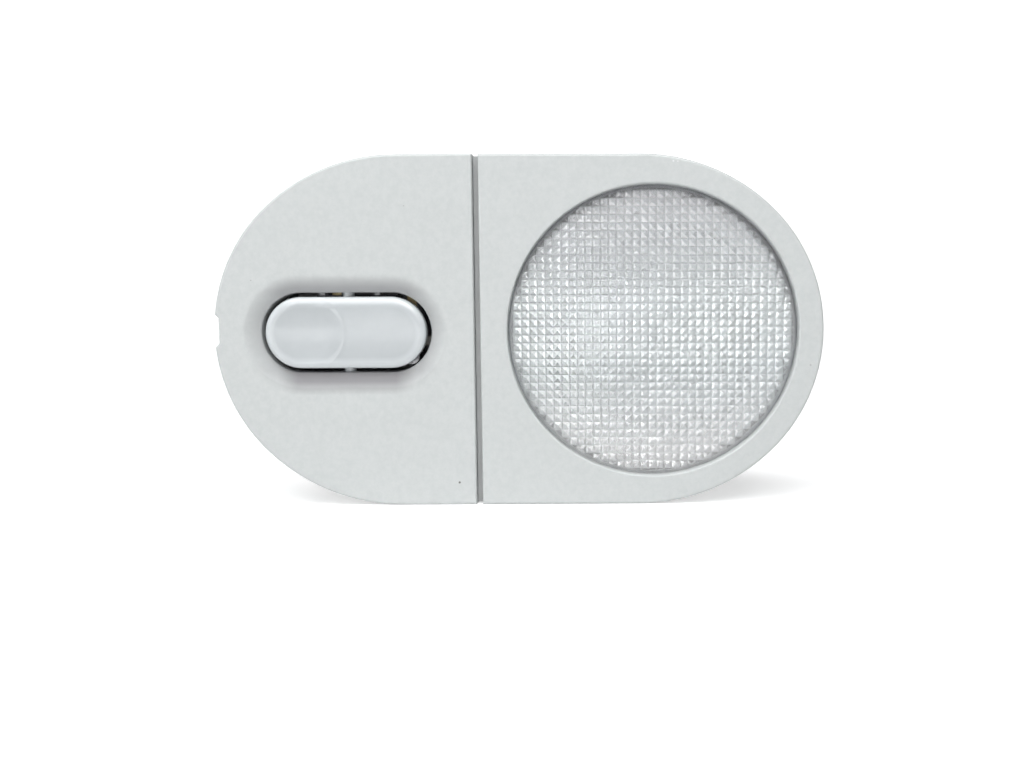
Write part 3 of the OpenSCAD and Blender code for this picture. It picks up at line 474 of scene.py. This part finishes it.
def cover(b, end, from_x, side):
    """Shell of one cover. end(inset) gives its round end from top to bottom, from_x its straight
    edge, and side is 1 for the right cover and -1 for the left. Returns the front and back rings."""
    def ring(inset, edge_inset, z):
        x = from_x + side * edge_inset
        round_end = [(p[0], p[1], z) for p in end(inset)]
        return b.ring([(x, HALF_H - inset, z)] + round_end + [(x, inset - HALF_H, z)])

    rings = [ring(inset, edge_inset, z)
             for (inset, z), (edge_inset, _) in zip(rounding(EDGE_R, 6), rounding(GROOVE_R, 6))]
    b.strips(rings)
    skirt = ring(0, 0, -SKIRT_DEPTH)
    low = ring(0, 0, -FACE_T)
    b.strip(rings[-1], low)
    b.strip(low, skirt, False)
    inner_top = ring(SKIRT_T, 0, -FACE_T)
    inner_low = ring(SKIRT_T, 0, -SKIRT_DEPTH)
    b.strip(inner_top, inner_low, False)
    b.strip(skirt, inner_low, False)
    for k in (0, -1):
        b.faces.append((low[k], skirt[k], inner_low[k], inner_top[k]))
    return rings[0], inner_top


def catch(b, mid, out, along):
    """Snap catch on the skirt's inner wall, at a point of the outline, with the outward and
    lengthways directions."""
    ends = [[(mid[0] - out[0] * d + along[0] * s, mid[1] - out[1] * d + along[1] * s, z)
             for d, z in CATCH_PROFILE] for s in (-CATCH_HALF_W, CATCH_HALF_W)]
    b.prism(*ends)


def catches(b, side, flat_x):
    for s in (1, -1):
        catch(b, (flat_x, s * HALF_H), (0, s), (1, 0))
        a = math.radians(30) + math.asin(CATCH_HALF_W / TIP_R)
        out = (side * math.cos(a), s * math.sin(a))
        catch(b, (side * TIP_X + out[0] * TIP_R, out[1] * TIP_R), out, (-out[1], out[0]))


def seat_ribs(b, side, flat_x):
    """Ribs inside the skirt that rest on the housing's flange."""
    def rib(place, out, r):
        bar(b, place, out, r - RIB_REACH, r - SKIRT_T / 2, RIB_W, FACE_T / 2, RIB_BOTTOM)

    for s in (1, -1):
        for x in (flat_x - 8, flat_x + 8):
            rib((x, 0), (0, s), HALF_H)
        for angle in (20, 48):
            a = math.radians(angle)
            rib((side * TIP_X, 0), (side * math.cos(a), s * math.sin(a)), TIP_R)


def lens_cover():
    b = Builder()
    front, back = cover(b, right_end, RIGHT_EDGE, 1)
    profile = [(WINDOW_R + inset, z) for inset, z in rounding(LIP_R, 8)]
    profile += [(WINDOW_R, -SEAT_DEPTH), (COLLAR_R, -SEAT_DEPTH), (COLLAR_R, -COLLAR_DEPTH),
                (COLLAR_OUT, -COLLAR_DEPTH), (COLLAR_OUT, -FACE_T)]
    rings = [b.ring(circle_ring(r, z)) for r, z in profile]
    b.fill(front, rings[0])
    b.strips(rings)
    b.fill(back, rings[-1])
    catches(b, 1, RIGHT_EDGE + FLAT_CATCH)
    seat_ribs(b, 1, RIGHT_EDGE + FLAT_CATCH)
    for angle in (45, 135, 225, 315):
        for turn, *sizes in ((0, COLLAR_R - 0.6, COLLAR_R + 0.8, 5.4, 6.1, 7.3),
                             (15, COLLAR_R - 1.5, COLLAR_OUT, RIB_W, COLLAR_DEPTH - 0.1, 12.5)):
            a = math.radians(angle + turn)
            bar(b, (LENS_X, 0), (math.cos(a), math.sin(a)), *sizes)
    o = b.make("lens_cover_shell", cover_mat, "lamp")
    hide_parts("lens_cover")


def dish_z(t, y):
    """Depth of the recess from its outer edge, 0, to the rounding at the opening, 1, curved above
    the rocker and straight below it."""
    soft = 0.2
    straight = (t * t / (2 * soft) if t < soft else t - soft / 2) / (1 - soft / 2)
    above = min(max(y / OPENING_R, 0), 1)
    return -DISH_FALL * (above * t * t + (1 - above) * straight)


def switch_cover():
    b = Builder()
    front, back = cover(b, left_end, LEFT_EDGE, -1)
    steps = 16
    width = DISH_W - DISH_EDGE
    rings = [b.ring([(x, y, dish_z(i / steps, y))
                     for x, y, _ in slot_ring(OPENING_R + DISH_W - width * i / steps, 0)])
             for i in range(steps + 1)]
    lean = math.atan(DISH_FALL / width)
    profile = [(OPENING_R + DISH_EDGE * (1 - math.sin(a)) / (1 - math.sin(lean)),
                -DISH_FALL - DISH_EDGE * (math.cos(lean) - math.cos(a)))
               for a in sweep(lean, QUARTER, 8)[1:]]
    profile += [(OPENING_R, -WELL_DEPTH), (OPENING_R + WELL_T, -WELL_DEPTH),
                (OPENING_R + WELL_T, -WELL_SHOULDER), (OPENING_R + DISH_W, -FACE_T)]
    rings += [b.ring(slot_ring(r, z)) for r, z in profile]
    b.fill(front, rings[0])
    b.strips(rings)
    b.fill(back, rings[-1])
    catches(b, -1, LEFT_EDGE - FLAT_CATCH)
    seat_ribs(b, -1, LEFT_EDGE - FLAT_CATCH)
    for x in (-6.2, 7.5):
        bar(b, (ROCKER_X + x, 0), (0, 1), ROCKER_R + 0.35, OPENING_R + WELL_T / 2, RIB_W, 3.4, 6.6)
    o = b.make("switch_cover_shell", cover_mat, "lamp")
    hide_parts("switch_cover")


lens_cover()
switch_cover()


# Lens

# Share of the half pitch and of the height at each level, with a soft foot and a soft crest
PRISM_STEPS = [(1, 0), (0.95, 0.02), (0.89, 0.075), (0.12, 0.845)]
TIP_SHARE = 0.92
SIDES = [(-1, -1), (1, -1), (1, 1), (-1, 1)]
LENS_BACK = -LENS_FRONT - LENS_T


def boolean(base, tool, operation):
    """Mesh of two closed objects cut or joined; both objects are used up."""
    m = base.modifiers.new("cut", "BOOLEAN")
    m.operation, m.object, m.solver = operation, tool, "EXACT"
    bpy.context.view_layer.update()
    mesh = bpy.data.meshes.new_from_object(base.evaluated_get(bpy.context.evaluated_depsgraph_get()))
    for o in (base, tool):
        bpy.data.objects.remove(o)
    return mesh


def turned(name, profile):
    """Closed solid of revolution about the lens's axis, from a profile of radius and z."""
    b = Builder()
    rings = [b.ring(circle_ring(max(r, 0.001), z, 144)) for r, z in profile]
    b.strips(rings)
    b.faces += [tuple(rings[0]), tuple(reversed(rings[-1]))]
    return new_object(name, b.points, b.faces, 1e-6)


def prism_field():
    """Square block whose back is a field of prisms."""
    n = 18
    points, faces, index = [], [], {}

    def at(x, y, z):
        key = (round(x, 4), round(y, 4), round(z, 4))
        if key not in index:
            index[key] = len(points)
            points.append((LENS_X + x, y, z))
        return index[key]

    h = PITCH / 2
    for i in range(-n, n + 1):
        for j in range(-n, n + 1):
            x, y = i * PITCH, j * PITCH
            levels = [[at(x + sx * h * share, y + sy * h * share, LENS_BACK - PRISM_H * depth)
                       for sx, sy in SIDES] for share, depth in PRISM_STEPS]
            tip = at(x, y, LENS_BACK - PRISM_H * TIP_SHARE)
            for a, c in zip(levels, levels[1:]):
                faces += [(a[(k + 1) % 4], a[k], c[k], c[(k + 1) % 4]) for k in range(4)]
            crest = levels[-1]
            faces += [(crest[(k + 1) % 4], crest[k], tip) for k in range(4)]
    e = (n + 0.5) * PITCH
    corners = [(sx * e, sy * e) for sx, sy in SIDES]
    upper = [at(x, y, LENS_BACK + 2) for x, y in corners]
    faces.append(tuple(upper))
    steps = 2 * n + 1
    for k in range(4):
        (x0, y0), (x1, y1) = corners[k], corners[(k + 1) % 4]
        low = [at(x0 + (x1 - x0) * s / steps, y0 + (y1 - y0) * s / steps, LENS_BACK)
               for s in range(steps + 1)]
        faces.append(tuple([upper[k]] + low + [upper[(k + 1) % 4]]))
    return new_object("lens_field", points, faces, 1e-6)


def lens():
    """Clear disc with a smooth front, a flange, and a field of square prisms cut round behind."""
    field = prism_field()
    rim = WINDOW_R - 0.15
    wall = rim - 0.6
    flange = COLLAR_R - 0.15
    top = -SEAT_DEPTH - 0.07
    bottom = top - 1.5
    disc = turned("lens_disc", [(0, LENS_BACK + 0.1), (wall + 0.05, LENS_BACK + 0.1), (wall + 0.05, -6.5),
                                (0, -6.5)])
    prisms = link_object("lens_bed", boolean(disc, field, "INTERSECT"))
    body = turned("lens_body", [
        (0, -LENS_FRONT), (rim - 0.3, -LENS_FRONT), (rim - 0.09, -LENS_FRONT - 0.09),
        (rim, -LENS_FRONT - 0.3), (rim, top), (flange, top), (flange, bottom), (wall, bottom),
        (wall, LENS_BACK + 0.05), (0, LENS_BACK + 0.05)])
    o = link_object("lens_prisms", boolean(body, prisms, "UNION"))
    smooth(o, 15)
    paint(o, lens_mat)
    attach(o, "lamp")
    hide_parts("lens")


lens()


# Rocker

# The thumb dish is a little deeper than in the CAD.
THUMB_X, THUMB_R, THUMB_DEPTH = ROCKER_X - 9.4, 9.2, 0.95
ROCKER_EDGE = 3.0


def rocker_top(x, y, r):
    """Height of the rocker's face, with its rounded edge, its slight crown and its thumb dish."""
    above = max(y / max(r, 0.01), 0)
    edge, fall = 1.5 + 1.5 * above, 1.2 + 0.5 * above
    ball = (THUMB_R**2 + THUMB_DEPTH**2) / (2 * THUMB_DEPTH)
    z = PROUD - 0.06 - 0.25 * (r / ROCKER_R) ** 2
    if r > ROCKER_R - edge:
        u = (r - ROCKER_R + edge) / edge
        z -= fall * (1 - math.sqrt(max(0, 1 - u * u)))
    d = math.hypot(x - THUMB_X, y)
    z += 0.06 * math.exp(-((d - THUMB_R - 0.2) / 0.35) ** 2)
    if d > THUMB_R + 2:
        return z
    dish = PROUD + ball - THUMB_DEPTH - math.sqrt(ball**2 - d * d)
    soft = 0.03
    h = max(soft - abs(z - dish), 0) / soft
    return min(z, dish) - h * h * soft / 4


def rocker():
    """Rocker with rounded edges over its skirt, ears, pins, lever and cam."""
    b = Builder()

    def ring(r, z=None):
        right, left = ROCKER_X + ROCKER_HALF, ROCKER_X - ROCKER_HALF
        way = [2 * ROCKER_HALF * i / 80 for i in range(1, 80)]
        points = (arc(right, 0, r, -QUARTER, QUARTER, 60) + [(right - s, r) for s in way]
                  + arc(left, 0, r, QUARTER, 3 * QUARTER, 60) + [(left + s, -r) for s in way])
        return b.ring([(x, y, rocker_top(x, y, r) if z is None else z) for x, y in points])

    flat_r = ROCKER_R - ROCKER_EDGE
    radii = [flat_r * i / 24 for i in range(25)]
    radii += [flat_r + ROCKER_EDGE * math.sin(a) for a in sweep(0, QUARTER, 18)[1:]]
    rings = [ring(r) for r in radii]
    rings += [ring(ROCKER_R, -3.4), ring(ROCKER_R - 0.2, -3.6), ring(ROCKER_R - 1.5, -3.6),
              ring(ROCKER_R - 1.5, -1.9), ring(ROCKER_R - 2, -1.4), ring(0, -1.4)]
    b.strips(rings)

    def circle(z, r):
        return arc(ROCKER_X, z, r, 0, 4 * QUARTER, 40)[:-1]

    def shape(*points):
        return [(ROCKER_X + x, z) for x, z in points]

    roof = -1.35
    ear_r = 2.6
    low = -PIVOT_DEPTH - 9
    ear = shape((-ear_r, -PIVOT_DEPTH), (ear_r, -PIVOT_DEPTH), (ear_r, roof), (-ear_r, roof))
    flank = shape((-6, roof), (6, roof), (0.8, low + 3), (-0.8, low + 3))
    for s in (1, -1):
        y0, y1 = sorted((s * (ROCKER_R - 1.45), s * (ROCKER_R - 0.05)))
        along_y(b, circle(-PIVOT_DEPTH, ear_r), y0, y1)
        along_y(b, ear, y0 + 0.02, y1 - 0.02)
        y0, y1 = sorted((s * (ROCKER_R - 0.75), s * (OPENING_R + WELL_T - 0.2)))
        along_y(b, circle(-PIVOT_DEPTH, 1.5), y0, y1)
        along_y(b, flank, s * 2.2 - 0.5, s * 2.2 + 0.5)
    along_y(b, shape((-1, roof), (1, roof), (1, low), (-1, low)), -2.48, 2.48)
    along_y(b, circle(low, 1.3), -2.5, 2.5)
    cam_edge = [(-21, 9)]
    for middle in (-TILT, 0, TILT):
        cam_edge += [(middle - 4.2, 9), (middle - 2, 8.5), (middle + 2, 8.5), (middle + 4.2, 9)]
    cam_edge.append((21, 9))
    cam = [(0, -PIVOT_DEPTH)]
    cam += [(r * math.sin(math.radians(a)), -PIVOT_DEPTH - r * math.cos(math.radians(a)))
            for a, r in cam_edge]
    along_y(b, shape(*cam), ROCKER_R - 1.5, ROCKER_R)
    o = b.make("rocker_cap", rocker_mat, "rocker", 40, False)
    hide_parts("rocker")


rocker()


# Studio

WHITE = (1, 1, 1)
FLOOR_HALF, FLOOR_BACK, BEND_R, BACKDROP_H = 3.0, 0.9, 0.7, 2.2
FLOOR_SHADE, NEAR_GLOW = 0.86, 0.55
WORLD_COLOR, WORLD_STRENGTH = (0.97, 0.985, 1, 1), 0.12
LAMPS_AIM = (0, 0, 0.04)

# Name, place, aim, size in metres, power and colour
LAMPS = [
    ("key_above", (-0.1, -0.27, 0.8), LAMPS_AIM, (1.3, 0.3), 6.8, (0.98, 0.99, 1)),
    ("fill_front", (-0.29, -0.95, 0.08), (-0.03, 0, 0.04), (0.46, 0.4), 0.26, WHITE),
    ("key_front", (-0.05, -0.6, 0.65), LAMPS_AIM, (1.0, 0.3), 2.2, WHITE),
    ("fill_left", (-0.75, -0.4, 0.2), LAMPS_AIM, (0.5, 0.5), 0.68, (0.97, 0.98, 1)),
    ("fill_low", (-0.05, -0.45, 0.03), LAMPS_AIM, (0.9, 0.05), 0.24, WHITE),
]


def area(name, place, aim, size, power, color):
    data = bpy.data.lights.new(name, "AREA")
    data.shape = "RECTANGLE"
    data.size, data.size_y = size
    data.energy = power
    data.color = color
    o = link_object(name, data)
    o.location = place
    o.rotation_euler = (Vector(aim) - Vector(place)).to_track_quat("-Z", "Y").to_euler()


def split_rays(tree, hidden, shown, surface):
    """Shows one shader to the camera, in mirrors and through glass, and the other to all else."""
    path = tree.nodes.new("ShaderNodeLightPath")
    seen = path.outputs["Is Camera Ray"]
    for kind in ("Is Glossy Ray", "Is Transmission Ray"):
        either = tree.nodes.new("ShaderNodeMath")
        either.operation = "MAXIMUM"
        tree.links.new(seen, either.inputs[0])
        tree.links.new(path.outputs[kind], either.inputs[1])
        seen = either.outputs[0]
    mix = tree.nodes.new("ShaderNodeMixShader")
    tree.links.new(seen, mix.inputs[0])
    tree.links.new(hidden, mix.inputs[1])
    tree.links.new(shown, mix.inputs[2])
    tree.links.new(mix.outputs[0], surface)


def floor_material():
    """Matte white with a steady level of its own where it is seen, full beyond a metre."""
    m = new_nodes("studio_white")
    m.tree.nodes.remove(m.bsdf)
    diffuse = m.add("ShaderNodeBsdfDiffuse")
    diffuse.inputs["Color"].default_value = (FLOOR_SHADE, FLOOR_SHADE, FLOOR_SHADE, 1)
    near = m.remap(m.distance((0, 0, 0)), 0.25, 1.0, 1, 0)
    glow = m.add("ShaderNodeEmission")
    m.link(m.remap(near, 0, 1, 1, NEAR_GLOW), glow.inputs["Strength"])
    both = m.add("ShaderNodeAddShader")
    m.link(diffuse.outputs[0], both.inputs[0])
    m.link(glow.outputs[0], both.inputs[1])
    split_rays(m.tree, diffuse.outputs[0], both.outputs[0], m.out.inputs["Surface"])
    return m.mat


def studio():
    profile = [(-FLOOR_HALF, 0.0), (FLOOR_BACK, 0.0)]
    profile += [(FLOOR_BACK + BEND_R * math.sin(a), BEND_R * (1 - math.cos(a)))
                for a in sweep(0, QUARTER, 16)[1:]]
    profile.append((FLOOR_BACK + BEND_R, BACKDROP_H))
    mesh = bpy.data.meshes.new("studio_floor")
    verts = [(s * FLOOR_HALF, y, z) for y, z in profile for s in (-1, 1)]
    faces = [(2 * i, 2 * i + 1, 2 * i + 3, 2 * i + 2) for i in range(len(profile) - 1)]
    mesh.from_pydata(verts, [], faces)
    mesh.shade_smooth()
    o = link_object("studio_floor", mesh)
    paint(o, floor_material())

    world_data = bpy.data.worlds.new("studio_world")
    scene.world = world_data
    world_data.use_nodes = True
    t = world_data.node_tree
    dim = t.nodes["Background"]
    dim.inputs["Color"].default_value = WORLD_COLOR
    dim.inputs["Strength"].default_value = WORLD_STRENGTH
    white = t.nodes.new("ShaderNodeBackground")
    white.inputs["Color"].default_value = (*WHITE, 1)
    white.inputs["Strength"].default_value = 1.0
    split_rays(t, dim.outputs[0], white.outputs[0], t.nodes["World Output"].inputs["Surface"])
    for lamp in LAMPS:
        area(*lamp)


studio()

# Camera, at the photograph's viewing angle
camera_data = bpy.data.cameras.new("camera")
camera_data.lens = 36.25
camera_data.sensor_width = 36
camera_data.clip_start = 0.01
camera_data.shift_x, camera_data.shift_y = -0.08488, 0.00767
camera = link_object("camera", camera_data)
camera.location = (0.018, -0.26967, 0.0555)
camera.rotation_euler = Euler([math.radians(a) for a in (83.9793, 0.2126, -0.385)])
scene.camera = camera
scene.view_settings.view_transform = "Standard"
